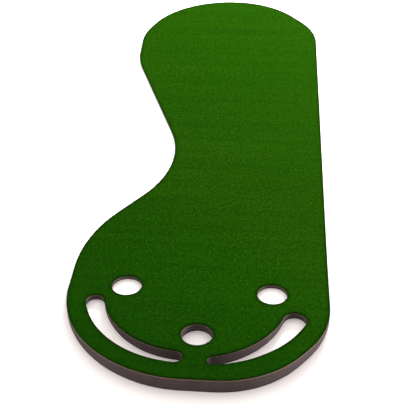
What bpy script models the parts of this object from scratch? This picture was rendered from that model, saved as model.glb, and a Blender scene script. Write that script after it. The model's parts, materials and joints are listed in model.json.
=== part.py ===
"""Practice putting mat, kidney shaped, with a raised cup end.

Metres, +Z up.  The origin is on the floor under the middle of the mat.  +Y runs
from the raised cup end to the thin tail, and the long straight side is at +X.

A turf sheet, pile on a latex backing, is laid on a thin foam underlay.  At the cup
end that sheet is glued to a foam wedge, and three cups and two ball slots are cut
through everything.  The tail folds over the cup end for storage, so each sheet is
two solids that part at the fold line.
"""
import math

import bmesh
import bpy
from mathutils import Vector

# Overall sizes
MAT_WIDTH = 0.9144
MAT_LENGTH = 2.7432

# Layers, from the floor up
UNDERLAY_THICKNESS = 0.0020
BACKING_THICKNESS = 0.0010
PILE_HEIGHT = 0.0030
WEDGE_HEIGHT = 0.0508
WEDGE_TOE_THICKNESS = 0.0010
GLUE_THICKNESS = 0.0004
TOUCH_GAP = 0.0003

# Ramp: where it starts and where it becomes straight, back from the front edge
RAMP_REACH = 0.842
RAMP_STRAIGHT_REACH = 0.382
RAMP_CHORDS = 12
TOE_SEARCH_HALVINGS = 40

# Cups: centre from the mid line and back from the front edge
CUP_DIAMETER = 0.108
CUP_CENTRES = [(-0.2535, 0.4516), (0.2590, 0.4376), (0.0130, 0.2106)]
CUP_SEGMENTS = 64

# Ball slots: centre of the arc as for a cup, radius of the arc, angles of its outer
# and inner ends in degrees, and the half width at each of those ends
BALL_SLOTS = [
    {"centre": (-0.0252, 0.4346), "radius": 0.3350, "angles": (192.6, 265.4), "half_widths": (0.0326, 0.0282)},
    {"centre": (0.0074, 0.4400), "radius": 0.3563, "angles": (337.6, 280.7), "half_widths": (0.0410, 0.0210)},
]
SLOT_SEGMENTS = 20
SLOT_END_SEGMENTS = 12

# Fold: where the tail hinges, back from the front edge, and the bend centre's height
FOLD_REACH = 1.3716
FOLD_AXIS_HEIGHT = 0.0250

# Drawing of arcs, and how far the cutters stand out of what they cut
OUTLINE_STEP = math.radians(4.0)
SMOOTH_ANGLE = math.radians(20.0)
CUTTER_OVERRUN = 0.010

FRONT_Y = -MAT_LENGTH / 2
TAIL_Y = MAT_LENGTH / 2
STRAIGHT_X = MAT_WIDTH / 2
BULGE_X = -MAT_WIDTH / 2
FOLD_Y = FRONT_Y + FOLD_REACH
RAMP_START_Y = FRONT_Y + RAMP_REACH
RAMP_STRAIGHT_Y = FRONT_Y + RAMP_STRAIGHT_REACH
GLUE_SPACE = TOUCH_GAP + GLUE_THICKNESS + TOUCH_GAP
BACKING_LIFT = UNDERLAY_THICKNESS + TOUCH_GAP
PILE_LIFT = BACKING_LIFT + BACKING_THICKNESS + TOUCH_GAP

# Corners of the outline, anticlockwise from the front of the straight side: where
# two sides would cross, and the radius that rounds them
OUTLINE_CORNERS = [
    (STRAIGHT_X, FRONT_Y + 0.257, 0.350),
    (STRAIGHT_X - 0.210, FRONT_Y, 0.350),
    (BULGE_X + 0.249, FRONT_Y, 0.440),
    (BULGE_X, FRONT_Y + 0.257, 0.425),
    (BULGE_X, FRONT_Y + 0.733, 0.556),
    (BULGE_X + 0.355, FRONT_Y + 1.206, 0.499),
    (BULGE_X + 0.043, TAIL_Y - 0.664, 0.473),
    (BULGE_X + 0.038, TAIL_Y - 0.392, 0.355),
    (BULGE_X + 0.188, TAIL_Y, 0.438),
    (STRAIGHT_X - 0.236, TAIL_Y, 0.383),
    (STRAIGHT_X, TAIL_Y - 0.308, 0.347),
]

# Colours, linear, and roughness
MATERIALS = {
    "pile": ((0.020, 0.100, 0.004), 0.95),
    "backing": ((0.420, 0.300, 0.170), 0.80),
    "underlay": ((0.070, 0.048, 0.042), 0.90),
    "glue": ((0.500, 0.420, 0.250), 0.45),
    "foam": ((0.105, 0.078, 0.075), 0.92),
}


def remove_scene_objects():
    for scene_object in list(bpy.data.objects):
        bpy.data.objects.remove(scene_object, do_unlink=True)


def make_material(name):
    """A plain Principled material of one colour and roughness."""
    colour, roughness = MATERIALS[name]
    material = bpy.data.materials.new(name)
    material.use_nodes = True
    shader = material.node_tree.nodes["Principled BSDF"]
    shader.inputs["Base Color"].default_value = (*colour, 1.0)
    shader.inputs["Roughness"].default_value = roughness
    shader.inputs["Metallic"].default_value = 0.0
    return material


def arc_points(centre, radius, start, turn, segments):
    """Points along an arc, both ends included."""
    angles = [start + turn * number / segments for number in range(segments + 1)]
    return [Vector((centre[0] + radius * math.cos(a), centre[1] + radius * math.sin(a))) for a in angles]


def half_angle(before, corner, after):
    """Half the inner angle between the two sides that cross at a corner."""
    return (before - corner).angle(after - corner) / 2


def tangent_lengths(corners, radii):
    """Length of side that each rounding takes, cut back where two would overlap."""
    count = len(corners)
    neighbours = [(corners[i - 1], corners[i], corners[(i + 1) % count]) for i in range(count)]
    wanted = [radii[i] / math.tan(half_angle(*neighbours[i])) for i in range(count)]
    room = [(corners[(i + 1) % count] - corners[i]).length / (wanted[i] + wanted[(i + 1) % count])
            for i in range(count)]
    return [wanted[i] * min(1.0, room[i - 1], room[i]) for i in range(count)]


def mat_outline():
    """The kidney-shaped outline: straight sides joined by circular arcs."""
    corners = [Vector(corner[:2]) for corner in OUTLINE_CORNERS]
    lengths = tangent_lengths(corners, [corner[2] for corner in OUTLINE_CORNERS])
    points = []
    for index, corner in enumerate(corners):
        before = corners[index - 1]
        after = corners[(index + 1) % len(corners)]
        half = half_angle(before, corner, after)
        radius = lengths[index] * math.tan(half)
        to_before = (before - corner).normalized()
        to_after = (after - corner).normalized()
        centre = corner + (to_before + to_after).normalized() * radius / math.sin(half)
        first = corner + to_before * lengths[index] - centre
        last = corner + to_after * lengths[index] - centre
        turn = math.atan2(first.cross(last), first.dot(last))
        segments = max(2, math.ceil(abs(turn) / OUTLINE_STEP))
        points += arc_points(centre, radius, math.atan2(first.y, first.x), turn, segments)
    return points


def cup_outline(centre):
    """One cup as a ring of points."""
    place = (centre[0], FRONT_Y + centre[1])
    return arc_points(place, CUP_DIAMETER / 2, 0.0, 2 * math.pi, CUP_SEGMENTS)[:-1]


def slot_outline(slot):
    """A ball slot: two arcs that taper towards each other, and a round at each end."""
    centre = Vector((slot["centre"][0], FRONT_Y + slot["centre"][1]))
    outer_angle, inner_angle = (math.radians(angle) for angle in slot["angles"])
    outer_half, inner_half = slot["half_widths"]
    turn = math.copysign(math.pi, inner_angle - outer_angle)

    def spine(share, offset):
        angle = outer_angle + (inner_angle - outer_angle) * share
        reach = slot["radius"] + offset * (outer_half + (inner_half - outer_half) * share)
        return centre + Vector((math.cos(angle), math.sin(angle))) * reach

    shares = [number / SLOT_SEGMENTS for number in range(SLOT_SEGMENTS + 1)]
    far_side = [spine(share, 1.0) for share in shares]
    near_side = [spine(share, -1.0) for share in reversed(shares)]
    inner_end = arc_points(spine(1.0, 0.0), inner_half, inner_angle, turn, SLOT_END_SEGMENTS)
    outer_end = arc_points(spine(0.0, 0.0), outer_half, outer_angle + math.pi, turn, SLOT_END_SEGMENTS)
    return far_side + inner_end[1:-1] + near_side + outer_end[1:-1]


def eased_rise(y):
    """Rise of the sheet's underside: a straight ramp whose foot is eased by a parabola."""
    straight_rise = WEDGE_HEIGHT + GLUE_SPACE
    ease = RAMP_START_Y - RAMP_STRAIGHT_Y
    slope = straight_rise / (RAMP_REACH - ease / 2)
    run = RAMP_START_Y - y
    if run <= 0.0:
        return 0.0
    if run < ease:
        return slope * run * run / (2 * ease)
    return slope * (run - ease / 2)


def ramp_stations():
    """The y of each crease where the sheet's faces change slope."""
    ease = RAMP_STRAIGHT_Y - RAMP_START_Y
    return [RAMP_START_Y + ease * number / RAMP_CHORDS for number in range(RAMP_CHORDS + 1)]


def underside(y):
    """Height of the sheet's underside, flat between one crease and the next."""
    stations = ramp_stations()
    for start, end in zip(stations, stations[1:]):
        if end <= y <= start:
            share = (start - y) / (start - end)
            return eased_rise(start) + (eased_rise(end) - eased_rise(start)) * share
    return eased_rise(y)


def wedge_toe_y():
    """Where the space under the sheet is as high as the wedge's toe."""
    low, high = RAMP_STRAIGHT_Y, RAMP_START_Y
    toe_rise = WEDGE_TOE_THICKNESS + GLUE_SPACE
    for _ in range(TOE_SEARCH_HALVINGS):
        middle = (low + high) / 2
        if underside(middle) > toe_rise:
            low = middle
        else:
            high = middle
    return low


def make_object(name, mesh_builder, material=None, origin=(0.0, 0.0, 0.0)):
    """Turn a finished bmesh into an object with its own origin."""
    bmesh.ops.translate(mesh_builder, verts=mesh_builder.verts, vec=-Vector(origin))
    bmesh.ops.recalc_face_normals(mesh_builder, faces=mesh_builder.faces)
    mesh = bpy.data.meshes.new(name)
    mesh_builder.to_mesh(mesh)
    mesh_builder.free()
    mesh.shade_smooth()
    mesh.set_sharp_from_angle(angle=SMOOTH_ANGLE)
    if material:
        mesh.materials.append(material)
    new_object = bpy.data.objects.new(name, mesh)
    new_object.location = origin
    bpy.context.collection.objects.link(new_object)
    return new_object


def trim(mesh_builder, y, keep_below):
    """Cut a flat face across at y and drop the far side."""
    normal = (0.0, 1.0, 0.0) if keep_below else (0.0, -1.0, 0.0)
    bmesh.ops.bisect_plane(mesh_builder, geom=mesh_builder.verts[:] + mesh_builder.edges[:] + mesh_builder.faces[:],
                           plane_co=(0.0, y, 0.0), plane_no=normal, clear_outer=True)


def crease(mesh_builder, y):
    """Cut a flat face across at y and keep both sides."""
    bmesh.ops.bisect_plane(mesh_builder, geom=mesh_builder.verts[:] + mesh_builder.edges[:] + mesh_builder.faces[:],
                           plane_co=(0.0, y, 0.0), plane_no=(0.0, 1.0, 0.0))


def make_layer(name, y_range, bottom, top, material, origin=(0.0, 0.0, 0.0)):
    """A solid of the mat's outline between two y limits and two heights given by y."""
    low_y, high_y = y_range
    builder = bmesh.new()
    builder.faces.new([builder.verts.new((point.x, point.y, 0.0)) for point in mat_outline()])
    if low_y > FRONT_Y:
        trim(builder, low_y, keep_below=False)
    if high_y < TAIL_Y:
        trim(builder, high_y, keep_below=True)
    for station in ramp_stations():
        if low_y < station < high_y:
            crease(builder, station)
    extruded = bmesh.ops.extrude_face_region(builder, geom=builder.faces[:])["geom"]
    upper = {element for element in extruded if isinstance(element, bmesh.types.BMVert)}
    for vertex in builder.verts:
        height = top if vertex in upper else bottom
        vertex.co.z = height(vertex.co.y)
    return make_object(name, builder, material, origin)


def make_cutter(name, outlines):
    """Upright cutting bodies, one for each outline, in a single object."""
    builder = bmesh.new()
    top = WEDGE_HEIGHT + GLUE_SPACE + PILE_LIFT + PILE_HEIGHT + CUTTER_OVERRUN
    for outline in outlines:
        face = builder.faces.new([builder.verts.new((p.x, p.y, -CUTTER_OVERRUN)) for p in outline])
        extruded = bmesh.ops.extrude_face_region(builder, geom=[face])["geom"]
        risen = [element for element in extruded if isinstance(element, bmesh.types.BMVert)]
        bmesh.ops.translate(builder, verts=risen, vec=(0.0, 0.0, top + CUTTER_OVERRUN))
    cutter = make_object(name, builder)
    cutter.display_type = "WIRE"
    cutter.hide_render = True
    return cutter


def cut(target, cutter):
    """Cut a layer with the shared cutter."""
    modifier = target.modifiers.new("cups_and_slots", "BOOLEAN")
    modifier.operation = "DIFFERENCE"
    modifier.solver = "EXACT"
    modifier.object = cutter


def sheet_heights(lift, thickness):
    """Bottom and top of one layer of the sheet, as functions of y."""
    def bottom(y):
        return underside(y) + lift

    def top(y):
        return underside(y) + lift + thickness

    return bottom, top


def build_sheet(cutter):
    """The three layers of the sheet, each in a cup end part and a tail part."""
    fold_axis = (0.0, FOLD_Y, FOLD_AXIS_HEIGHT)
    cup_end_range = (FRONT_Y, FOLD_Y - TOUCH_GAP / 2)
    tail_range = (FOLD_Y + TOUCH_GAP / 2, TAIL_Y)
    layers = [
        ("foam_underlay", 0.0, UNDERLAY_THICKNESS, "underlay"),
        ("turf_backing", BACKING_LIFT, BACKING_THICKNESS, "backing"),
        ("turf_pile", PILE_LIFT, PILE_HEIGHT, "pile"),
    ]
    for name, lift, thickness, finish in layers:
        bottom, top = sheet_heights(lift, thickness)
        material = make_material(finish)
        cup_end = make_layer(name + "_cup_end", cup_end_range, bottom, top, material)
        cut(cup_end, cutter)
        make_layer(name + "_tail", tail_range, bottom, top, material, fold_axis)


def build_wedge(cutter):
    """The foam wedge on the floor, and the film of contact adhesive on its ramp."""
    wedge_range = (FRONT_Y, wedge_toe_y())

    def floor_height(_):
        return 0.0

    def wedge_top(y):
        return underside(y) - GLUE_SPACE

    def glue_bottom(y):
        return wedge_top(y) + TOUCH_GAP

    def glue_top(y):
        return glue_bottom(y) + GLUE_THICKNESS

    wedge = make_layer("foam_wedge", wedge_range, floor_height, wedge_top, make_material("foam"))
    glue = make_layer("wedge_glue_film", wedge_range, glue_bottom, glue_top, make_material("glue"))
    cut(wedge, cutter)
    cut(glue, cutter)


def build_mat():
    remove_scene_objects()
    outlines = [cup_outline(centre) for centre in CUP_CENTRES]
    outlines += [slot_outline(slot) for slot in BALL_SLOTS]
    cutter = make_cutter("cup_and_slot_cutter", outlines)
    build_sheet(cutter)
    build_wedge(cutter)


build_mat()
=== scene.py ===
# %% [markdown]
# # Practice putting mat
# A kidney-shaped indoor putting mat, three feet by nine.  It is a sandwich: green
# cut-pile turf on a latex backing, laminated to a thin grey foam underlay.  At the cup
# end the sandwich is glued to a foam wedge, and three cups and two ball slots are cut
# through everything.
#
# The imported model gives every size, and the way the tail folds.  It could be shown with
# colours alone, but its turf is a smooth slab in two halves.  Here whole sheets, a
# knife-cut wedge and a nap of tufts take the places of its layers.

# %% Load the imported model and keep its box
import json
import math

import bmesh
import bpy
import numpy as np
from mathutils import Matrix, Vector, noise
from mathutils.bvhtree import BVHTree
from mathutils.kdtree import KDTree


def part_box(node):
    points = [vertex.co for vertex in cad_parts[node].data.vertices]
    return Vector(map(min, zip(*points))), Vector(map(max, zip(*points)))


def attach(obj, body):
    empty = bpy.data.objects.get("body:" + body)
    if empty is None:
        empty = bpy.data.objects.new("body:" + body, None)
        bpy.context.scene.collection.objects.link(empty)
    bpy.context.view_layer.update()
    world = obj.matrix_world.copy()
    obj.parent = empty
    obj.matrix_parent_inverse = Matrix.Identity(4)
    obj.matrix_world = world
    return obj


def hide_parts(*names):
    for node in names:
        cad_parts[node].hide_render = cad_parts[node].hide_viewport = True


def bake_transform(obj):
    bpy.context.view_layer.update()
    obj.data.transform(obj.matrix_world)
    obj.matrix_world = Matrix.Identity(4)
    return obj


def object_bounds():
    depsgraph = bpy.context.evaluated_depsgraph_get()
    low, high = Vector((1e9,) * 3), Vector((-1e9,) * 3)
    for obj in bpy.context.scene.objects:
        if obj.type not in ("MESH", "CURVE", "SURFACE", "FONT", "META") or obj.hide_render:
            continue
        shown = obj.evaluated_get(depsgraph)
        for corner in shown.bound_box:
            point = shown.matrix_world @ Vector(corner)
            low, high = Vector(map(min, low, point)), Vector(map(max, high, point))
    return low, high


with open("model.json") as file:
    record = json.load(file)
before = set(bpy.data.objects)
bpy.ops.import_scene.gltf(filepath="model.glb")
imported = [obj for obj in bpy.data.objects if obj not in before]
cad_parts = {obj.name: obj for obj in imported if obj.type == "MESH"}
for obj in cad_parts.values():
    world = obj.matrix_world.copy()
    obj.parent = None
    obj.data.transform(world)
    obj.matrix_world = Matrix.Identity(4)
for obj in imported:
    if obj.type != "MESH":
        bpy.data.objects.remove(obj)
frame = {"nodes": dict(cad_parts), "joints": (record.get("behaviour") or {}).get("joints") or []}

cad_low, cad_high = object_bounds()
mat_size = cad_high - cad_low
print("CAD box", [round(value, 4) for value in (*cad_low, *cad_high)])

# %% [markdown]
# ## The camera
# A long lens looks down on the cup end from a tall tripod.  A Track To constraint could
# aim it, but would hide the angles.  Turning by heading first, then tilt, then a trace
# of roll keeps each number something that a person at the tripod would adjust.

# %% Camera
CAMERA_PLACE = Vector((0.1929, -3.3207, 2.2734))
CAMERA_HEADING = math.radians(4.42)
CAMERA_TILT_DOWN = math.radians(38.30)
CAMERA_ROLL = math.radians(-0.42)
LENS_MM = 80.2
FAR_CLIP = 100.0

camera_data = bpy.data.cameras.new("camera")
camera_data.lens = LENS_MM
camera_data.clip_end = FAR_CLIP
camera = bpy.data.objects.new("camera", camera_data)
bpy.context.scene.collection.objects.link(camera)
camera.matrix_world = (
    Matrix.Translation(CAMERA_PLACE)
    @ Matrix.Rotation(CAMERA_HEADING, 4, "Z")
    @ Matrix.Rotation(math.pi / 2 - CAMERA_TILT_DOWN, 4, "X")
    @ Matrix.Rotation(CAMERA_ROLL, 4, "Z")
)
bpy.context.scene.camera = camera
mat_middle = (cad_low + cad_high) / 2
print("camera", round((CAMERA_PLACE - mat_middle).length, 2), "m from the mat's middle")

# %% [markdown]
# ## Floor and studio light
# The mat lies on white paper in a bright studio.  Lamps alone could light it, but each
# would throw its own shadow.  A bright world gives the shadowless fill of a white room
# instead.  It is stronger from behind, which leaves the walls that face the camera in
# shade.  One soft lamp behind the tail skims the nap, and two at the sides lift the
# side walls.  The Standard view keeps colours as they are mixed.

# %% Floor
FLOOR_SIZE = 60.0
FLOOR_DROP = 0.0001


def deselect_all():
    """Object mode with nothing selected, so an operator acts only on what comes next."""
    if bpy.context.object and bpy.context.object.mode != "OBJECT":
        bpy.ops.object.mode_set(mode="OBJECT")
    bpy.ops.object.select_all(action="DESELECT")


bpy.context.scene.view_settings.view_transform = "Standard"
deselect_all()
bpy.ops.mesh.primitive_plane_add(size=FLOOR_SIZE, location=(0.0, 0.0, -FLOOR_DROP))
floor = bpy.context.object
floor.name = "studio_floor"
print("floor", FLOOR_SIZE, "m wide")

# %% World
WORLD_FRONT = 0.6
WORLD_BACK = 2.2
WHITE = (1.0, 1.0, 1.0, 1.0)


def add_node(tree, kind, inputs=None, **settings):
    """Add a node, set its properties, then fill or link its inputs."""
    new = tree.nodes.new(kind)
    for name, value in settings.items():
        setattr(new, name, value)
    for socket, value in (inputs or {}).items():
        if isinstance(value, bpy.types.NodeSocket):
            tree.links.new(value, new.inputs[socket])
        else:
            new.inputs[socket].default_value = value
    return new


# The strength grows evenly from straight in front of the mat to straight behind it
world = bpy.data.worlds.new("white_studio")
world.use_nodes = True
room = world.node_tree
direction = add_node(room, "ShaderNodeTexCoord")
split = add_node(room, "ShaderNodeSeparateXYZ", {0: direction.outputs["Generated"]})
depth = add_node(room, "ShaderNodeMapRange", {
    "Value": split.outputs["Y"], "From Min": -1.0, "To Min": WORLD_FRONT, "To Max": WORLD_BACK})
room.nodes["Background"].inputs["Color"].default_value = WHITE
room.links.new(depth.outputs[0], room.nodes["Background"].inputs["Strength"])
bpy.context.scene.world = world
print("world strength", WORLD_FRONT, "in front to", WORLD_BACK, "behind")

# %% Lamps
# Each lamp: its place, the point it faces, its watts and the width of its soft box
LAMPS = {
    "nap_light": (Vector((0.9, 3.6, 2.0)), Vector((0.0, 0.8, 0.0)), 400.0, 1.2),
    "right_fill": (Vector((3.2, -0.5, 1.3)), Vector((0.2, -0.8, 0.0)), 210.0, 1.0),
    "left_fill": (Vector((-3.2, -0.9, 1.3)), Vector((-0.2, -0.9, 0.0)), 60.0, 1.0),
}
for name, (place, target, watts, width) in LAMPS.items():
    deselect_all()
    bpy.ops.object.light_add(type="AREA", location=place)
    lamp = bpy.context.object
    lamp.name = name
    lamp.data.energy = watts
    lamp.data.size = width
    lamp.rotation_euler = (target - place).to_track_quat("-Z", "Y").to_euler()
    lamp.visible_camera = False
print("lamps", list(LAMPS))

# %% [markdown]
# ## Helpers for modelling by hand
# Meshes could be written corner by corner, but then the steps can't be seen.  The
# sheets and the wedge are shaped in edit mode as a person would do it: select faces by
# where they are, then extrude, inset, bisect or merge.  These helpers do the selecting.

# %% Telling faces apart
# A face is a wall where its normal's z is within this of level, and flat beyond it
UPRIGHT = 0.5


def is_wall(face):
    """Whether a face stands upright."""
    return abs(face.normal.z) < UPRIGHT


def looks_down(face):
    """Whether a face looks down at the floor."""
    return face.normal.z < -UPRIGHT


# %% Picking and editing
def pick(piece):
    """One object selected and active."""
    deselect_all()
    piece.select_set(True)
    bpy.context.view_layer.objects.active = piece


def edit(piece):
    """Edit mode on one object, with all of it selected."""
    pick(piece)
    bpy.ops.object.mode_set(mode="EDIT")
    bpy.ops.mesh.select_mode(type="FACE")
    bpy.ops.mesh.select_all(action="SELECT")


def object_mode():
    """Back to object mode, which writes the edits to the mesh."""
    bpy.ops.object.mode_set(mode="OBJECT")


def select_faces(piece, wanted):
    """Select only the faces that pass a test, in edit mode."""
    bpy.ops.mesh.select_all(action="DESELECT")
    builder = bmesh.from_edit_mesh(piece.data)
    for face in builder.faces:
        face.select_set(wanted(face))
    bmesh.update_edit_mesh(piece.data)


def pull_up(height):
    """Extrude what is selected straight up."""
    bpy.ops.mesh.extrude_region_move(TRANSFORM_OT_translate={"value": (0.0, 0.0, height)})


def face_outwards():
    """Select the whole mesh and make its faces point out."""
    bpy.ops.mesh.select_all(action="SELECT")
    bpy.ops.mesh.normals_make_consistent(inside=False)


# %% Copying, modifying and smoothing
SMOOTH_ANGLE = math.radians(35.0)


def own_copy(source, name):
    """A new object with its own copy of a mesh."""
    twin = bpy.data.objects.new(name, source.data.copy())
    bpy.context.scene.collection.objects.link(twin)
    return twin


def apply_modifier(piece, kind, **settings):
    """Add one modifier with its settings and apply it."""
    modifier = piece.modifiers.new(kind.lower(), kind)
    for name, value in settings.items():
        setattr(modifier, name, value)
    pick(piece)
    bpy.ops.object.modifier_apply(modifier=modifier.name)


def smooth(piece):
    """Smooth shading over gentle bends, with the cut edges left sharp."""
    pick(piece)
    bpy.ops.object.shade_smooth_by_angle(angle=SMOOTH_ANGLE)


# %% [markdown]
# ## The flat pattern
# All three sheets are cut to one outline, as a die cuts the laminate.  The outline
# could be drawn again from its radii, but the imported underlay's underside already is
# that outline, in two halves that part at the fold.  The halves are copied, everything
# but the underside is deleted, what is left is pressed flat, and the halves are merged.
#
# Pulled up into a prism, the outline trims a plain grid to shape.  Filling the outline
# would be simpler, but gives long thin triangles.  The grid gives small even faces that
# follow the ramp and the fold.

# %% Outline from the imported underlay
WELD_GAP = 1e-5
MERGE_GAP = 0.0005
STRAIGHT = math.radians(0.01)

outline = own_copy(frame["nodes"]["foam_underlay_cup_end"], "outline")
tail_half = own_copy(frame["nodes"]["foam_underlay_tail"], "outline_tail")
pick(outline)
tail_half.select_set(True)
bpy.ops.object.join()
edit(outline)
bpy.ops.mesh.remove_doubles(threshold=WELD_GAP)
select_faces(outline, lambda face: not looks_down(face))
bpy.ops.mesh.delete(type="FACE")
bpy.ops.mesh.select_all(action="SELECT")
bpy.ops.transform.resize(value=(1.0, 1.0, 0.0))
bpy.ops.mesh.remove_doubles(threshold=MERGE_GAP)
bpy.ops.mesh.dissolve_limited(angle_limit=STRAIGHT)
object_mode()
flat_z = outline.data.vertices[0].co.z
outline.data.transform(Matrix.Translation((0.0, 0.0, -flat_z)))

# %% A grid trimmed to the outline
PRISM_HALF = 0.05
CELL = 0.012
TINY_EDGE = 0.0003

edit(outline)
bpy.ops.transform.translate(value=(0.0, 0.0, -PRISM_HALF))
pull_up(2 * PRISM_HALF)
face_outwards()
object_mode()

across = math.ceil(mat_size.x / CELL) + 1
along = math.ceil(mat_size.y / CELL) + 1
deselect_all()
bpy.ops.mesh.primitive_grid_add(x_subdivisions=across, y_subdivisions=along, size=1.0)
pattern = bpy.context.object
pattern.name = "pattern"
edit(pattern)
bpy.ops.transform.resize(value=(across * CELL, along * CELL, 1.0))
object_mode()
apply_modifier(pattern, "BOOLEAN", operation="INTERSECT", solver="EXACT", object=outline)
bpy.data.objects.remove(outline)
edit(pattern)
bpy.ops.mesh.remove_doubles(threshold=TINY_EDGE)
object_mode()
print("pattern", len(pattern.data.polygons), "faces")

# %% [markdown]
# ## How high the sheets lie
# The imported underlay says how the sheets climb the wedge: its underside is read as
# pairs of y and height.  On the flat part the mat remembers being rolled, and swells
# off the floor by up to a millimetre in long low waves across its width.  A cloth
# simulation could settle it, but a laminate on a floor hardly moves, so smooth noise is
# enough.  The waves die out at the fold and at the ramp, where the sheets are held down.


# %% Thicknesses and the climb
def thickness_of(node):
    """A layer's thickness and how high it lies, from its flat tail half."""
    low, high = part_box(node)
    return high.z - low.z, low.z


def underside_of(node):
    """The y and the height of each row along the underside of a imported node."""
    mesh = node.data
    rows = {}
    for polygon in mesh.polygons:
        if looks_down(polygon):
            for index in polygon.vertices:
                place = mesh.vertices[index].co
                rows[round(place.y, 5)] = place.z
    in_order = sorted(rows.items())
    return np.array([y for y, _ in in_order]), np.array([z for _, z in in_order])


UNDERLAY_THICKNESS, UNDERLAY_LIFT = thickness_of("foam_underlay_tail")
BACKING_THICKNESS, BACKING_LIFT = thickness_of("turf_backing_tail")
PILE_THICKNESS, PILE_LIFT = thickness_of("turf_pile_tail")
ROW_Y, ROW_Z = underside_of(frame["nodes"]["foam_underlay_cup_end"])
layers = (UNDERLAY_THICKNESS, BACKING_THICKNESS, PILE_THICKNESS)
print("layers in mm", [round(1000 * thickness, 2) for thickness in layers])

# %% The swell
SWELL_HEIGHT = 0.0011
SWELL_LENGTH = 0.17
SWELL_WIDTH = 1.3
SWELL_SLICE = 0.37
# Along y, where the sheets start to come free, are free, start to be held, and are held
SWELL_ZONES = [(-0.47, -0.36, -0.14, -0.04), (0.10, 0.24, 1.30, 1.60)]


def ease(value, start, end):
    """0 before start and 1 after end, with a smooth step between."""
    share = min(1.0, max(0.0, (value - start) / (end - start)))
    return share * share * (3 - 2 * share)


def swell(x, y):
    """How far the sheets stand off the floor because they were rolled."""
    free = sum(ease(y, a, b) * (1 - ease(y, c, d)) for a, b, c, d in SWELL_ZONES)
    wave = noise.noise(Vector((x / SWELL_WIDTH, y / SWELL_LENGTH, SWELL_SLICE)))
    return SWELL_HEIGHT * free * (0.5 + 0.5 * wave)


def sheet_underside(x, y):
    """The height of the lowest sheet's underside."""
    return float(np.interp(y, ROW_Y, ROW_Z)) + swell(x, y)


print("swell at the tail's middle, mm", round(1000 * swell(0.0, cad_high.y / 2), 2))

# %% [markdown]
# ## The three sheets
# Each sheet is a copy of the flat pattern, pulled up to its thickness and lifted to
# where it lies.  Two halves that part at the fold would be easier to move, but the real
# sheets are whole, so these run from end to end, with extra rows across the fold.  Each
# keeps a flat map in metres, made while it still lies flat, so that weave and nap would
# stay on the cloth if it folded.  The underlay's lower face is embossed with a shallow
# waffle that grips the floor: each cell that the cut leaves nearly whole is inset and
# pushed in.

# %% Flat map and fold rows
FOLD_Y = frame["joints"][0]["pos_m"][1]
BLEND_LENGTH = 0.09
FOLD_ROW = 0.003
ROWS_PAST_FOLD = 3


def add_cloth_map(mesh):
    """The flat map: metres from the corner of the mat's box, for every cloth finish."""
    layer = mesh.uv_layers.new(name="cloth")
    places = np.zeros(len(mesh.vertices) * 3)
    mesh.vertices.foreach_get("co", places)
    corners = np.zeros(len(mesh.loops), np.int64)
    mesh.loops.foreach_get("vertex_index", corners)
    flat = places.reshape(-1, 3)[corners, :2] - np.array([cad_low.x, cad_low.y])
    layer.data.foreach_set("uv", flat.ravel())


def add_fold_rows(piece):
    """Extra rows across the fold, so that the sheet could bend there in a smooth curve."""
    edit(piece)
    for number in range(1, round(BLEND_LENGTH / FOLD_ROW) + ROWS_PAST_FOLD + 1):
        bpy.ops.mesh.select_all(action="SELECT")
        row_y = FOLD_Y + number * FOLD_ROW
        bpy.ops.mesh.bisect(plane_co=(0.0, row_y, 0.0), plane_no=(0.0, 1.0, 0.0))
    object_mode()


# %% Building a sheet
WAFFLE_RIB = 0.0017
WAFFLE_DEPTH = 0.0012
WAFFLE_LEAST_AREA = 0.6 * CELL * CELL


def build_sheet(name, lift, thickness, waffle=False):
    """One sheet of the mat, whole from the front edge to the tail."""
    piece = own_copy(pattern, name)
    edit(piece)
    pull_up(thickness)
    face_outwards()
    if waffle:
        select_faces(piece, lambda face: looks_down(face) and face.calc_area() > WAFFLE_LEAST_AREA)
        bpy.ops.mesh.inset(thickness=WAFFLE_RIB, depth=-WAFFLE_DEPTH, use_individual=True)
    object_mode()
    add_fold_rows(piece)
    add_cloth_map(piece.data)
    for vertex in piece.data.vertices:
        vertex.co.z += lift + sheet_underside(vertex.co.x, vertex.co.y)
    smooth(piece)
    print(name, len(piece.data.polygons), "faces")
    return piece


# %% The sheets
# The pile's sheet is only its lower, denser part, and the tufts stand on it
PILE_CORE = 0.0022

underlay = build_sheet("foam_underlay", UNDERLAY_LIFT, UNDERLAY_THICKNESS, waffle=True)
backing = build_sheet("turf_backing", BACKING_LIFT, BACKING_THICKNESS)
pile = build_sheet("turf_pile", PILE_LIFT, PILE_CORE)

# %% [markdown]
# ## The pile at the cut-outs
# Round a hole the yarns stand in a ring and close over the cut, which hides the pale
# backing.  Along the outer edge they fan back, and the backing shows.  The backing could
# be cut back instead, but its corners would cross the small faces beside them.  Moving
# the pile's cut walls into the holes crosses nothing.  The outer wall is found by
# spreading from one of its faces to the next until it closes on itself.

# %% Letting the pile spring over the cut-outs
PILE_OVERHANG = 0.0011


def wall_directions(walls):
    """For each corner of some upright faces, the way they face."""
    facing = {}
    for face in walls:
        for vertex in face.verts:
            facing[vertex] = facing.get(vertex, Vector()) + face.normal
    return {vertex: direction.normalized() for vertex, direction in facing.items()}


builder = bmesh.new()
builder.from_mesh(pile.data)
walls = [face for face in builder.faces if is_wall(face)]
reached = [max(walls, key=lambda face: face.calc_center_median().x)]
outer_wall = set(reached)
while reached:
    near = {face for edge in reached.pop().edges for face in edge.link_faces if is_wall(face)}
    fresh = near - outer_wall
    outer_wall |= fresh
    reached += fresh
hole_walls = [face for face in walls if face not in outer_wall]
for vertex, direction in wall_directions(hole_walls).items():
    vertex.co += direction * PILE_OVERHANG
print("outer wall", len(outer_wall), "faces, cut-outs", len(hole_walls))
builder.to_mesh(pile.data)
builder.free()

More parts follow.
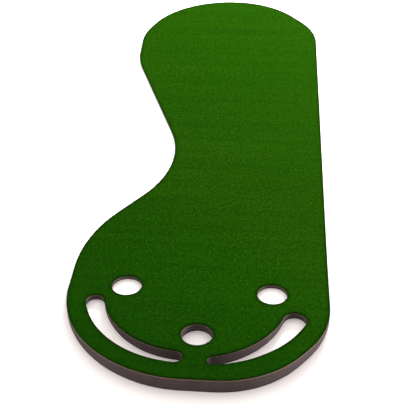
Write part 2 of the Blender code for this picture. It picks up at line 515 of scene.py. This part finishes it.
# %% [markdown]
# ## The foam wedge
# The wedge is cut from a slab of grey foam with a long knife or a hot wire, so its
# walls are nearly straight but never perfect: they wander by a fraction of a
# millimetre, and the lower edge is rubbed round.  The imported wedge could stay, but its
# walls have no corners between top and bottom.  The pattern is trimmed at the toe and
# pulled up in several steps, which gives the walls enough rows to wander, and then each
# row is set to its height.

# %% Pulling up the wedge
WALL_ROWS = 7
# A metre apart until their heights are set, so that z tells which row a corner is in
ROW_STEP = 1.0

wedge_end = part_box("foam_wedge")[1].y
wedge = own_copy(pattern, "foam_wedge_body")
edit(wedge)
bpy.ops.mesh.bisect(plane_co=(0.0, wedge_end, 0.0), plane_no=(0.0, 1.0, 0.0), clear_outer=True)
bpy.ops.mesh.select_all(action="SELECT")
for _ in range(WALL_ROWS):
    pull_up(ROW_STEP)
face_outwards()
object_mode()
print("wedge", len(wedge.data.polygons), "faces")

# %% Setting the rows and letting the walls wander
WALL_WANDER = 0.0005
WANDER_LENGTH = 0.045
EDGE_ROUND = 0.0012
THIN_TOE = 3 * EDGE_ROUND
# The wedge's top stops this far under the glue film, so that their faces never meet
GLUE_CLEARANCE = 0.0003

glue_rows = underside_of(frame["nodes"]["wedge_glue_film"])


def row_height(row, top):
    """The floor, then the top of the rubbed edge, then even steps up to the ramp."""
    if row == 0:
        return 0.0
    height = EDGE_ROUND + (top - EDGE_ROUND) * (row - 1) / (WALL_ROWS - 1)
    return min(height, top * row / WALL_ROWS) if top < THIN_TOE else height


builder = bmesh.new()
builder.from_mesh(wedge.data)
outward = wall_directions([face for face in builder.faces if is_wall(face)])
for vertex in builder.verts:
    ramp = float(np.interp(vertex.co.y, *glue_rows)) - GLUE_CLEARANCE
    vertex.co.z = row_height(round(vertex.co.z / ROW_STEP), ramp)
for vertex, direction in outward.items():
    if vertex.co.y < wedge_end - CELL:
        wander = WALL_WANDER * noise.noise(vertex.co / WANDER_LENGTH)
        rubbed = EDGE_ROUND if vertex.co.z == 0.0 else 0.0
        vertex.co += direction * (wander - rubbed)
builder.to_mesh(wedge.data)
builder.free()
smooth(wedge)
print("wedge top, mm", round(1000 * max(vertex.co.z for vertex in wedge.data.vertices), 2))

# %% [markdown]
# ## The nap
# Real putting turf is a forest of short crimped yarn ends, three millimetres tall, a
# few to a square millimetre.  Hair could draw them, but isn't a mesh, and that many
# can't be modelled.  So a tuft here stands for a few dozen yarn ends: one closed
# three-sided spike.  It is modelled once and copied over the mat, on the staggered rows
# of a tufting machine with a little disorder.  Two closer rows run round every cut
# edge, where the knife leaves the yarns splayed, and lean out over it.

# %% One tuft
TUFT_RADIUS = 0.0018
TUFT_HEIGHT = 0.0022

deselect_all()
bpy.ops.mesh.primitive_cone_add(vertices=3, radius1=TUFT_RADIUS, radius2=0.0,
                                depth=TUFT_HEIGHT, location=(0.0, 0.0, TUFT_HEIGHT / 2))
bpy.ops.object.transform_apply(location=True, rotation=True, scale=True)
tuft = bpy.context.object
tuft_points = np.array([vertex.co for vertex in tuft.data.vertices])
tuft_faces = np.array([polygon.vertices for polygon in tuft.data.polygons])
bpy.data.objects.remove(tuft)
print("tuft", len(tuft_points), "corners,", len(tuft_faces), "faces")

# %% Where the tufts stand
TUFT_PITCH = 0.0040
ROW_PITCH = 0.0036
JITTER = 0.0013
NAP_LEAN = (0.0, 0.25)
EDGE_PITCH = 0.0024
EDGE_ROWS = (0.0012, 0.0034)
EDGE_SPREAD = (0.2, 0.8)
EDGE_LEAN = 0.2
HIGH_ABOVE = 1.0
TUFT_SEED = 7
chance = np.random.default_rng(TUFT_SEED)
pattern_tree = BVHTree.FromObject(pattern, bpy.context.evaluated_depsgraph_get())


def inside(x, y):
    """Whether a point is on the mat and not in a cut-out."""
    above, down = Vector((x, y, HIGH_ABOVE)), Vector((0.0, 0.0, -1.0))
    return pattern_tree.ray_cast(above, down)[0] is not None


def field_tufts():
    """Place and lean of the tufts inside the outline, on staggered rows."""
    roots = []
    for number in range(int(mat_size.y / ROW_PITCH)):
        row_y = cad_low.y + (number + 0.5) * ROW_PITCH
        shift = TUFT_PITCH / 2 * (number % 2)
        row_x = np.arange(cad_low.x + shift, cad_high.x, TUFT_PITCH)
        wobble = chance.uniform(-JITTER, JITTER, (len(row_x), 2))
        for x, y in zip(row_x + wobble[:, 0], row_y + wobble[:, 1]):
            if inside(x, y):
                roots.append((x, y, *NAP_LEAN))
    return roots


def edge_tufts():
    """Place and lean of the tufts round the outline and every cut-out."""
    roots = []
    builder = bmesh.new()
    builder.from_mesh(pattern.data)
    for rim in builder.edges:
        if not rim.is_boundary:
            continue
        start, end = (vertex.co for vertex in rim.verts)
        run = end - start
        out = Vector((run.y, -run.x, 0.0)).normalized()
        if out.dot(rim.link_faces[0].calc_center_median() - (start + end) / 2) > 0:
            out = -out
        steps = max(1, round(run.length / EDGE_PITCH))
        for inset in EDGE_ROWS:
            for step in range(steps):
                share = (step + chance.uniform(*EDGE_SPREAD)) / steps
                place = start + run * share - out * inset
                roots.append((place.x, place.y, out.x * EDGE_LEAN, out.y * EDGE_LEAN))
    builder.free()
    return roots


edge_roots = edge_tufts()
roots = np.array(field_tufts() + edge_roots)
bpy.data.objects.remove(pattern)
print("tufts", len(roots), "of which along the edges", len(edge_roots))

# %% [markdown]
# ### Painted rim shade
# Beside a cut the pile is painted dark, as the shade that falls there, which draws a
# dark line round the mat and every hole.  A shader can't tell how far the nearest cut
# is.  So it is measured here, and kept as an attribute that the pile's material reads,
# and in how bright the tips of the tufts are.

# %% How far the painted rim shade reaches
RIM_SHADE_WIDTH = 0.011

rim_tree = KDTree(len(edge_roots))
for index, (x, y, _, _) in enumerate(edge_roots):
    rim_tree.insert((x, y, 0.0), index)
rim_tree.balance()


def clear_of_rim_shade(x, y):
    """0 at a cut edge, where shade is painted in, to 1 in the open field."""
    return ease(rim_tree.find((x, y, 0.0))[2], 0.0, RIM_SHADE_WIDTH)


pile_clear_of_rim_shade = [clear_of_rim_shade(vertex.co.x, vertex.co.y) for vertex in pile.data.vertices]
# The open attribute carries this painted rim shade to the pile's material
pile_rim_shade_attribute = pile.data.attributes.new("open", "FLOAT", "POINT")
pile_rim_shade_attribute.data.foreach_set("value", pile_clear_of_rim_shade)
print("pile corners in a rim", sum(value < 1 for value in pile_clear_of_rim_shade))

# %% Turning, leaning and scaling the copies
TUFT_SINK = 0.0003
# The least and the most of the modelled tuft's width and height
TUFT_SIZES = (0.8, 1.2)
TUFT_HEIGHTS = (0.75, 1.2)
LEAN_DISORDER = 0.225


def tuft_corners(places):
    """Every corner of a turned, leaning, scaled copy of the tuft at each place."""
    count = len(places)
    turn = chance.uniform(0, 2 * math.pi, count)
    size = chance.uniform(*TUFT_SIZES, (count, 1))
    tall = chance.uniform(*TUFT_HEIGHTS, (count, 1))
    lean = places[:, 2:] + chance.normal(0, LEAN_DISORDER, (count, 2))
    cosine, sine = np.cos(turn)[:, None], np.sin(turn)[:, None]
    x, y, z = tuft_points.T[:, None, :]
    height = z * tall
    base = np.array([sheet_underside(px, py) for px, py in places[:, :2]])
    base += PILE_LIFT + PILE_CORE - TUFT_SINK
    return np.stack([
        places[:, :1] + (x * cosine - y * sine) * size + height * lean[:, :1],
        places[:, 1:2] + (x * sine + y * cosine) * size + height * lean[:, 1:],
        height + base[:, None],
    ], axis=2)


# %% Tones, tips and maps of the copies
# How bright a tuft's tip stays beside a cut, under painted shade
RIM_SHADED_TIP = 0.15
# The tuft's four faces lie as triangles in the four quarters of a square
TRIANGLE = [(0.05, 0.05), (0.45, 0.05), (0.05, 0.45)]
BAKE_NET = np.array([(right + u, up + v) for up in (0.0, 0.5) for right in (0.0, 0.5)
                     for u, v in TRIANGLE])


def add_tuft_values(mesh, places):
    """Each tuft's own tone, and its painted shade: dark at the root, brightening to the tip, with
    dimmer tips beside a cut.
    """
    tone = mesh.attributes.new("tone", "FLOAT", "POINT")
    own_tones = chance.uniform(0, 1, len(places))
    tone.data.foreach_set("value", np.repeat(own_tones, len(tuft_points)))
    tip = mesh.attributes.new("tip", "FLOAT", "POINT")
    # Painted shade beside a cut dims the tips
    rim_shaded_tips = np.array([RIM_SHADED_TIP + (1 - RIM_SHADED_TIP) * clear_of_rim_shade(x, y) for x, y in places[:, :2]])
    tips = rim_shaded_tips[:, None] * tuft_points[:, 2] / TUFT_HEIGHT
    tip.data.foreach_set("value", tips.ravel())


def add_tuft_maps(mesh, places):
    """The flat map, one point to a tuft, and a square of the bake map for each tuft."""
    flat = places[:, :2] - np.array([cad_low.x, cad_low.y])
    cloth = mesh.uv_layers.new(name="cloth")
    cloth.data.foreach_set("uv", np.repeat(flat, len(BAKE_NET), axis=0).ravel())
    side = math.ceil(math.sqrt(len(places)))
    number = np.arange(len(places))
    squares = np.stack([number % side, number // side], axis=1)
    bake = mesh.uv_layers.new(name="OFBake")
    bake.data.foreach_set("uv", ((BAKE_NET + squares[:, None]) / side).ravel())


# %% [markdown]
# ### The nap, zone by zone
# One mesh for the whole nap would be simplest, but would be very heavy, and all of it
# would have to bend.  The nap is cut into zones instead.  A zone beside the fold rides
# on one body, and the zone on the fold rides on none.

# %% The nap
CUPS_END = -0.66
TAIL_END = 0.74
# Each zone: its name, where it starts and ends along y, and the body it rides on
NAP_ZONES = [
    ("turf_nap_cups", -math.inf, CUPS_END, "cup_end"),
    ("turf_nap_middle", CUPS_END, FOLD_Y, "cup_end"),
    ("turf_nap_fold", FOLD_Y, FOLD_Y + BLEND_LENGTH, None),
    ("turf_nap_tail", FOLD_Y + BLEND_LENGTH, TAIL_END, "tail"),
    ("turf_nap_tail_end", TAIL_END, math.inf, "tail"),
]


def copy_tufts(name, places):
    """One mesh with a copy of the tuft at every place."""
    first_corners = len(tuft_points) * np.arange(len(places))
    faces = tuft_faces + first_corners[:, None, None]
    mesh = bpy.data.meshes.new(name)
    mesh.from_pydata(tuft_corners(places).reshape(-1, 3), [], faces.reshape(-1, 3))
    mesh.shade_smooth()
    add_tuft_values(mesh, places)
    add_tuft_maps(mesh, places)
    piece = bpy.data.objects.new(name, mesh)
    bpy.context.scene.collection.objects.link(piece)
    print(name, len(places), "tufts,", len(mesh.polygons), "faces")
    return piece


nap_pieces = []
for zone_name, zone_start, zone_end, zone_body in NAP_ZONES:
    in_zone = (roots[:, 1] >= zone_start) & (roots[:, 1] < zone_end)
    nap_pieces.append((copy_tufts(zone_name, roots[in_zone]), zone_body))

# %% [markdown]
# ## Materials
# Each finish starts from the real material.  Colours are sRGB hex values, turned to
# linear by one function.  Patterns on cloth could read Object coordinates, but would
# swim when the tail folds.  They read the flat map, so their scales are in metres and
# they stay on the cloth.  Patterns on the wedge, the glue and the floor read Object
# coordinates, which suit things that don't bend.

# %% Colours, mixes and new materials
SHEEN_ROUGHNESS = 0.5


def srgb_to_linear(hex_colour):
    """A colour as '#rrggbb' turned to the linear values that shaders use."""
    values = [int(hex_colour[start:start + 2], 16) / 255 for start in (1, 3, 5)]
    linear = [v / 12.92 if v <= 0.04045 else ((v + 0.055) / 1.055) ** 2.4 for v in values]
    return (*linear, 1.0)


def new_material(name, roughness, ior, specular=0.5, sheen=0.0, sheen_tint="#ffffff"):
    """A Principled material and its tree, with the values that are the same all over."""
    material = bpy.data.materials.new(name)
    material.use_nodes = True
    shader = material.node_tree.nodes["Principled BSDF"]
    shader.inputs["Roughness"].default_value = roughness
    shader.inputs["IOR"].default_value = ior
    shader.inputs["Specular IOR Level"].default_value = specular
    shader.inputs["Sheen Weight"].default_value = sheen
    shader.inputs["Sheen Roughness"].default_value = SHEEN_ROUGHNESS
    shader.inputs["Sheen Tint"].default_value = srgb_to_linear(sheen_tint)
    return material, material.node_tree, shader


def mixed(tree, factor, first, second, blend_type="MIX"):
    """The colour between two colours, each a socket or a value."""
    # The Mix node keeps its factor at input 0 and its two colours at inputs 6 and 7
    mix = add_node(tree, "ShaderNodeMix", {0: factor, 6: first, 7: second},
                   data_type="RGBA", blend_type=blend_type)
    return mix.outputs[2]


def flat_map(tree):
    """The cloth's own flat map, in metres."""
    return add_node(tree, "ShaderNodeUVMap", uv_map="cloth").outputs["UV"]


# %% [markdown]
# ### Turf green
# The pile is crimped polypropylene yarn, dyed in the melt to a deep grass green.  One
# flat green would look like paint.  So the colour wanders in faint bands, where the
# roll pressed the nap, in slow patches, and in fine light and dark specks, where yarn
# ends catch the light or leave a gap.  Towards the cups and the front left corner the
# green is painted deeper and cooler, as painted shade.  A yarn is half a millimetre
# thick, too fine to show, so the specks are drawn at ten millimetres and the yarns
# between the tufts at two.  The gloss is lost between the yarns, which leaves no
# reflection but a little sheen.

# %% Turf colour
TURF_DEEP = srgb_to_linear("#072502")
TURF_LIGHT = srgb_to_linear("#1f4003")
BAND_WIDTH = 0.9
BAND_LENGTH = 0.030
BAND_SHARE = 0.35
SPECK_SIZE = 0.010
SPECK_RANGE = (0.52, 0.82)
PATCH_SIZE = 0.25
PATCH_TINT = (1.25, 1.05, 1.0, 1.0)
# Metres across and along the mat to a share of the way out of the painted shade at the front left
# corner
PAINTED_SHADE_SLANT = (0.54, 0.77, 0.0)
# Painted shade: the tint at each share of the way, darkest and coolest at the front left corner
PAINTED_SHADE_TINTS = [
    (0.00, (0.24, 0.60, 0.6, 1.0)),
    (0.31, (0.30, 0.66, 0.6, 1.0)),
    (0.67, (0.55, 0.85, 0.7, 1.0)),
    (0.81, (0.67, 0.93, 0.8, 1.0)),
    (0.96, WHITE),
]


def speckled_green(tree, cloth):
    """Light and deep green in fine specks and faint bands."""
    banded = add_node(tree, "ShaderNodeMapping", {
        "Vector": cloth, "Scale": (1 / BAND_WIDTH, 1 / BAND_LENGTH, 1.0)})
    bands = add_node(tree, "ShaderNodeTexNoise", {
        "Vector": banded.outputs[0], "Scale": 1.0, "Detail": 3.0})
    specks = add_node(tree, "ShaderNodeTexNoise", {
        "Vector": cloth, "Scale": 1 / SPECK_SIZE, "Detail": 2.0})
    faint = add_node(tree, "ShaderNodeMath", {
        0: bands.outputs["Fac"], 1: BAND_SHARE}, operation="MULTIPLY")
    both = add_node(tree, "ShaderNodeMath", {
        0: faint.outputs[0], 1: specks.outputs["Fac"]}, operation="ADD")
    share = add_node(tree, "ShaderNodeMapRange", {
        "Value": both.outputs[0], "From Min": SPECK_RANGE[0], "From Max": SPECK_RANGE[1]})
    return mixed(tree, share.outputs[0], TURF_DEEP, TURF_LIGHT)


def painted_shade_tint(tree, cloth):
    """Painted shade on the green, deepest and coolest at the front left corner, gone towards the
    tail.
    """
    slant = add_node(tree, "ShaderNodeVectorMath", {
        0: cloth, 1: PAINTED_SHADE_SLANT}, operation="DOT_PRODUCT")
    brush_marks_and_painted_shade = add_node(tree, "ShaderNodeValToRGB", {"Fac": slant.outputs["Value"]})
    stops = brush_marks_and_painted_shade.color_ramp.elements
    stops.remove(stops[1])
    stops[0].position, stops[0].color = PAINTED_SHADE_TINTS[0]
    for place, tint in PAINTED_SHADE_TINTS[1:]:
        stops.new(place).color = tint
    return brush_marks_and_painted_shade.outputs["Color"]


def turf_colour(tree):
    """The green with its slow patches, and painted shade towards the cups."""
    cloth = flat_map(tree)
    patches = add_node(tree, "ShaderNodeTexNoise", {
        "Vector": cloth, "Scale": 1 / PATCH_SIZE, "Detail": 2.0})
    green = mixed(tree, patches.outputs["Fac"], speckled_green(tree, cloth), PATCH_TINT,
                  blend_type="MULTIPLY")
    # The painted shade towards the cups multiplies the green
    return mixed(tree, 1.0, green, painted_shade_tint(tree, cloth), blend_type="MULTIPLY")


# %% The pile between the tufts, and its cut side, with painted shade
# The dark green of painted shade among the yarn roots
ROOT_PAINTED_SHADE = srgb_to_linear("#051202")
CORE_SHADE = 0.6
# How far the cut side is painted towards that shade
CUT_SIDE_SHADE = 0.85
YARN_SIZE = 0.0022
YARN_RELIEF = 0.0008
NAP_SHEEN = 0.22
NAP_SHEEN_TINT = "#5cd020"


def pile_material():
    """Seen between the tufts: painted in their shade, and with painted shade beside a cut."""
    material, tree, shader = new_material(
        "polypropylene_cut_pile", roughness=0.9, ior=1.49, specular=0.0,
        sheen=NAP_SHEEN, sheen_tint=NAP_SHEEN_TINT)
    # The open attribute is 0 at a cut edge, where shade is painted in, and 1 in the field
    rim_shade_mask = add_node(tree, "ShaderNodeAttribute", attribute_name="open")
    rim_shaded = mixed(tree, rim_shade_mask.outputs["Fac"], ROOT_PAINTED_SHADE, turf_colour(tree))
    shaded = add_node(tree, "ShaderNodeHueSaturation", {"Color": rim_shaded, "Value": CORE_SHADE})
    tree.links.new(shaded.outputs[0], shader.inputs["Base Color"])
    yarns = add_node(tree, "ShaderNodeTexVoronoi", {
        "Vector": flat_map(tree), "Scale": 1 / YARN_SIZE})
    bump = add_node(tree, "ShaderNodeBump", {
        "Height": yarns.outputs["Distance"], "Distance": YARN_RELIEF}, invert=True)
    tree.links.new(bump.outputs[0], shader.inputs["Normal"])
    return material


def shaded_cut_side_material():
    """The cut side of the pile, painted most of the way to the dark green of shade among the
    roots.
    """
    material, tree, shader = new_material(
        "polypropylene_pile_cut_side_painted_shade", roughness=0.9, ior=1.49, specular=0.0)
    # The cut side is painted most of the way into the shade at the roots
    deep = mixed(tree, CUT_SIDE_SHADE, turf_colour(tree), ROOT_PAINTED_SHADE)
    tree.links.new(deep, shader.inputs["Base Color"])
    return material


# %% The yarn ends
# One dye, but each tuft leans its own way, so each has its own tone
TONE_RANGE = (0.55, 1.45)


def nap_material():
    """Painted shade at the root and green at the tip, with each tuft in its own tone."""
    material, tree, shader = new_material(
        "polypropylene_yarn_ends", roughness=0.85, ior=1.49, specular=0.0,
        sheen=NAP_SHEEN, sheen_tint=NAP_SHEEN_TINT)
    tip = add_node(tree, "ShaderNodeAttribute", attribute_name="tip")
    # From painted shade at the root up to the green at the tip
    root_shaded = mixed(tree, tip.outputs["Fac"], ROOT_PAINTED_SHADE, turf_colour(tree))
    tone = add_node(tree, "ShaderNodeAttribute", attribute_name="tone")
    value = add_node(tree, "ShaderNodeMapRange", {
        "Value": tone.outputs["Fac"], "To Min": TONE_RANGE[0], "To Max": TONE_RANGE[1]})
    varied = add_node(tree, "ShaderNodeHueSaturation", {
        "Color": root_shaded, "Value": value.outputs[0]})
    tree.links.new(varied.outputs[0], shader.inputs["Base Color"])
    return material


# %% [markdown]
# ### Backing
# The backing is a cloth woven of flat plastic tapes and drowned in pale tan latex.
# Only its cut edge shows, as a thin light line round the mat.  One tan would do for
# that line, but the layers may be shown apart, and then the whole cloth is seen.  So
# the tapes' check is drawn at its real two and a half millimetres, and the latex
# clouds it.

# %% Backing material
TAPE_WIDTH = 0.0025
TAPE_RELIEF = 0.0002
LATEX_CLOUD = 0.025
TAPE_DARK = srgb_to_linear("#8a7359")
TAPE_LIGHT = srgb_to_linear("#967f63")
LATEX_TAN = srgb_to_linear("#735e47")


def backing_material():
    """Woven tapes, clouded by the latex that fills them."""
    material, tree, shader = new_material(
        "latex_coated_woven_backing", roughness=0.75, ior=1.5, specular=0.2)
    cloth = flat_map(tree)
    weave = add_node(tree, "ShaderNodeTexChecker", {"Vector": cloth, "Scale": 1 / TAPE_WIDTH})
    latex = add_node(tree, "ShaderNodeTexNoise", {
        "Vector": cloth, "Scale": 1 / LATEX_CLOUD, "Detail": 4.0})
    woven = mixed(tree, weave.outputs["Fac"], TAPE_DARK, TAPE_LIGHT)
    coated = mixed(tree, latex.outputs["Fac"], woven, LATEX_TAN)
    tree.links.new(coated, shader.inputs["Base Color"])
    bump = add_node(tree, "ShaderNodeBump", {
        "Height": weave.outputs["Fac"], "Distance": TAPE_RELIEF})
    tree.links.new(bump.outputs[0], shader.inputs["Normal"])
    return material


# %% [markdown]
# ### Foam, glue and paper
# The underlay and the wedge are closed-cell foam in a warm grey, matt because the cells
# scatter the light.  Real cells are half a millimetre wide, and are drawn at two to
# show.  They could be dents in the mesh, but bumps are enough at that size.  The knife
# leaves faint level lines on the wedge's walls, and the underlay, cast as a sheet, has
# none.  The glue is amber contact adhesive, brushed on and slightly glossy.  The floor
# is white paper, and a trace of cloud keeps it from being one dead tone.

# %% Foam materials
CELL_SIZE = 0.002
CELL_RELIEF = 0.0004
MOTTLE_SIZE = 0.04
STROKE_LENGTH = 0.5
STROKE_HEIGHT = 0.006


def foam_material(name, dark, light, knife_cut):
    """Mottled foam with fine cells, and with level strokes where a knife cut it."""
    material, tree, shader = new_material(name, roughness=0.92, ior=1.45, specular=0.12)
    if knife_cut:
        place = add_node(tree, "ShaderNodeTexCoord").outputs["Object"]
    else:
        place = flat_map(tree)
    mottle = add_node(tree, "ShaderNodeTexNoise", {
        "Vector": place, "Scale": 1 / MOTTLE_SIZE, "Detail": 5.0})
    cells = add_node(tree, "ShaderNodeTexVoronoi", {"Vector": place, "Scale": 1 / CELL_SIZE})
    colour = mixed(tree, mottle.outputs["Fac"], dark, light)
    height = cells.outputs["Distance"]
    if knife_cut:
        stroke_scale = (1 / STROKE_LENGTH, 1 / STROKE_LENGTH, 1 / STROKE_HEIGHT)
        level = add_node(tree, "ShaderNodeMapping", {"Vector": place, "Scale": stroke_scale})
        strokes = add_node(tree, "ShaderNodeTexNoise", {
            "Vector": level.outputs[0], "Scale": 1.0, "Detail": 3.0})
        height = add_node(tree, "ShaderNodeMath", {
            0: height, 1: strokes.outputs["Fac"]}, operation="ADD").outputs[0]
        colour = mixed(tree, strokes.outputs["Fac"], colour, dark)
    tree.links.new(colour, shader.inputs["Base Color"])
    bump = add_node(tree, "ShaderNodeBump", {"Height": height, "Distance": CELL_RELIEF})
    tree.links.new(bump.outputs[0], shader.inputs["Normal"])
    return material


# %% Glue and paper materials
BRUSH_MARKS_PER_METRE = 60.0
PAPER_CLOUDS_PER_METRE = 3.0
GLUE_DARK = srgb_to_linear("#8a7040")
GLUE_LIGHT = srgb_to_linear("#b59a63")
PAPER_SHADE = srgb_to_linear("#fbf2ef")
PAPER_WHITE = srgb_to_linear("#fdf6f3")


def glue_material():
    """Contact adhesive, with the marks of the brush."""
    material, tree, shader = new_material("amber_contact_adhesive", roughness=0.35, ior=1.5)
    place = add_node(tree, "ShaderNodeTexCoord").outputs["Object"]
    brush_marks_and_painted_shade = add_node(tree, "ShaderNodeTexNoise", {
        "Vector": place, "Scale": BRUSH_MARKS_PER_METRE, "Detail": 3.0})
    colour = mixed(tree, brush_marks_and_painted_shade.outputs["Fac"], GLUE_DARK, GLUE_LIGHT)
    tree.links.new(colour, shader.inputs["Base Color"])
    return material


def paper_material():
    """Studio paper, faintly clouded."""
    material, tree, shader = new_material(
        "white_studio_paper", roughness=0.9, ior=1.45, specular=0.1)
    place = add_node(tree, "ShaderNodeTexCoord").outputs["Object"]
    clouds = add_node(tree, "ShaderNodeTexNoise", {
        "Vector": place, "Scale": PAPER_CLOUDS_PER_METRE})
    colour = mixed(tree, clouds.outputs["Fac"], PAPER_SHADE, PAPER_WHITE)
    tree.links.new(colour, shader.inputs["Base Color"])
    return material


# %% Giving each piece its finish
WEDGE_DARK = srgb_to_linear("#3e3435")
WEDGE_LIGHT = srgb_to_linear("#514545")
UNDERLAY_DARK = srgb_to_linear("#3d3636")
UNDERLAY_LIGHT = srgb_to_linear("#4c4545")

cast_foam = foam_material("embossed_closed_cell_foam", UNDERLAY_DARK, UNDERLAY_LIGHT, False)
cut_foam = foam_material("knife_cut_closed_cell_foam", WEDGE_DARK, WEDGE_LIGHT, True)
yarn_ends = nap_material()
finishes = [
    (pile, pile_material()),
    (backing, backing_material()),
    (underlay, cast_foam),
    (wedge, cut_foam),
    (frame["nodes"]["wedge_glue_film"], glue_material()),
    *((piece, yarn_ends) for piece, _ in nap_pieces),
]
for piece, material in [*finishes, (floor, paper_material())]:
    piece.data.materials.clear()
    piece.data.materials.append(material)

# The pile's cut side, painted in shade, is its second material
pile.data.materials.append(shaded_cut_side_material())
for polygon in pile.data.polygons:
    polygon.material_index = 1 if is_wall(polygon) else 0
print("finishes", {piece.name: material.name for piece, material in finishes})

# %% [markdown]
# ## What moves with what
# The tail folds over the cup end for storage.  Each half could ride on its own body,
# but the sheets would tear open at the hinge.  The whole sheets and the strip of nap on
# the fold, over a length that would give the loop its round shape, ride on no body, and
# everything else rides on its own body.

# %% The sheets stay whole, and their imported halves are hidden
# Each sheet: its node, what it lies on, and what stands on it
sheet_facts = [
    (pile, "turf_pile", ["turf_backing"], [piece for piece, _ in nap_pieces]),
    (backing, "turf_backing", ["foam_underlay"], []),
    (underlay, "foam_underlay", ["foam_wedge_body"], []),
]
for piece, node, below, upon in sheet_facts:
    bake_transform(piece)
    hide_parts(node + "_cup_end", node + "_tail")
print("sheets", [piece.name for piece, *_ in sheet_facts])

# %% The nap rides on a body, or on none at the fold
for piece, body in nap_pieces:
    if body:
        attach(piece, body)
    else:
        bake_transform(piece)
print("nap", {piece.name: body or "bends" for piece, body in nap_pieces})

# %% The wedge rides on the cup end
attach(wedge, "cup_end")
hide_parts("foam_wedge")
print("wedge rides on cup_end")

# %% [markdown]
# ## Flags for two lamps
# The side fills would wash out the mat's soft shadow on the paper.  A studio sets black
# flags between such a lamp and the floor, and flags could be modelled here too, but
# each would need a place of its own.  Light linking does the same: the two fills reach
# the mat alone.

# %% Two lamps are flagged off the floor
FLAGGED_LAMPS = ["right_fill", "left_fill"]

mat_pieces = bpy.data.collections.new("mat_pieces")
for piece, _ in finishes:
    mat_pieces.objects.link(piece)
for name in FLAGGED_LAMPS:
    bpy.data.objects[name].light_linking.receiver_collection = mat_pieces
print("flagged", FLAGGED_LAMPS)
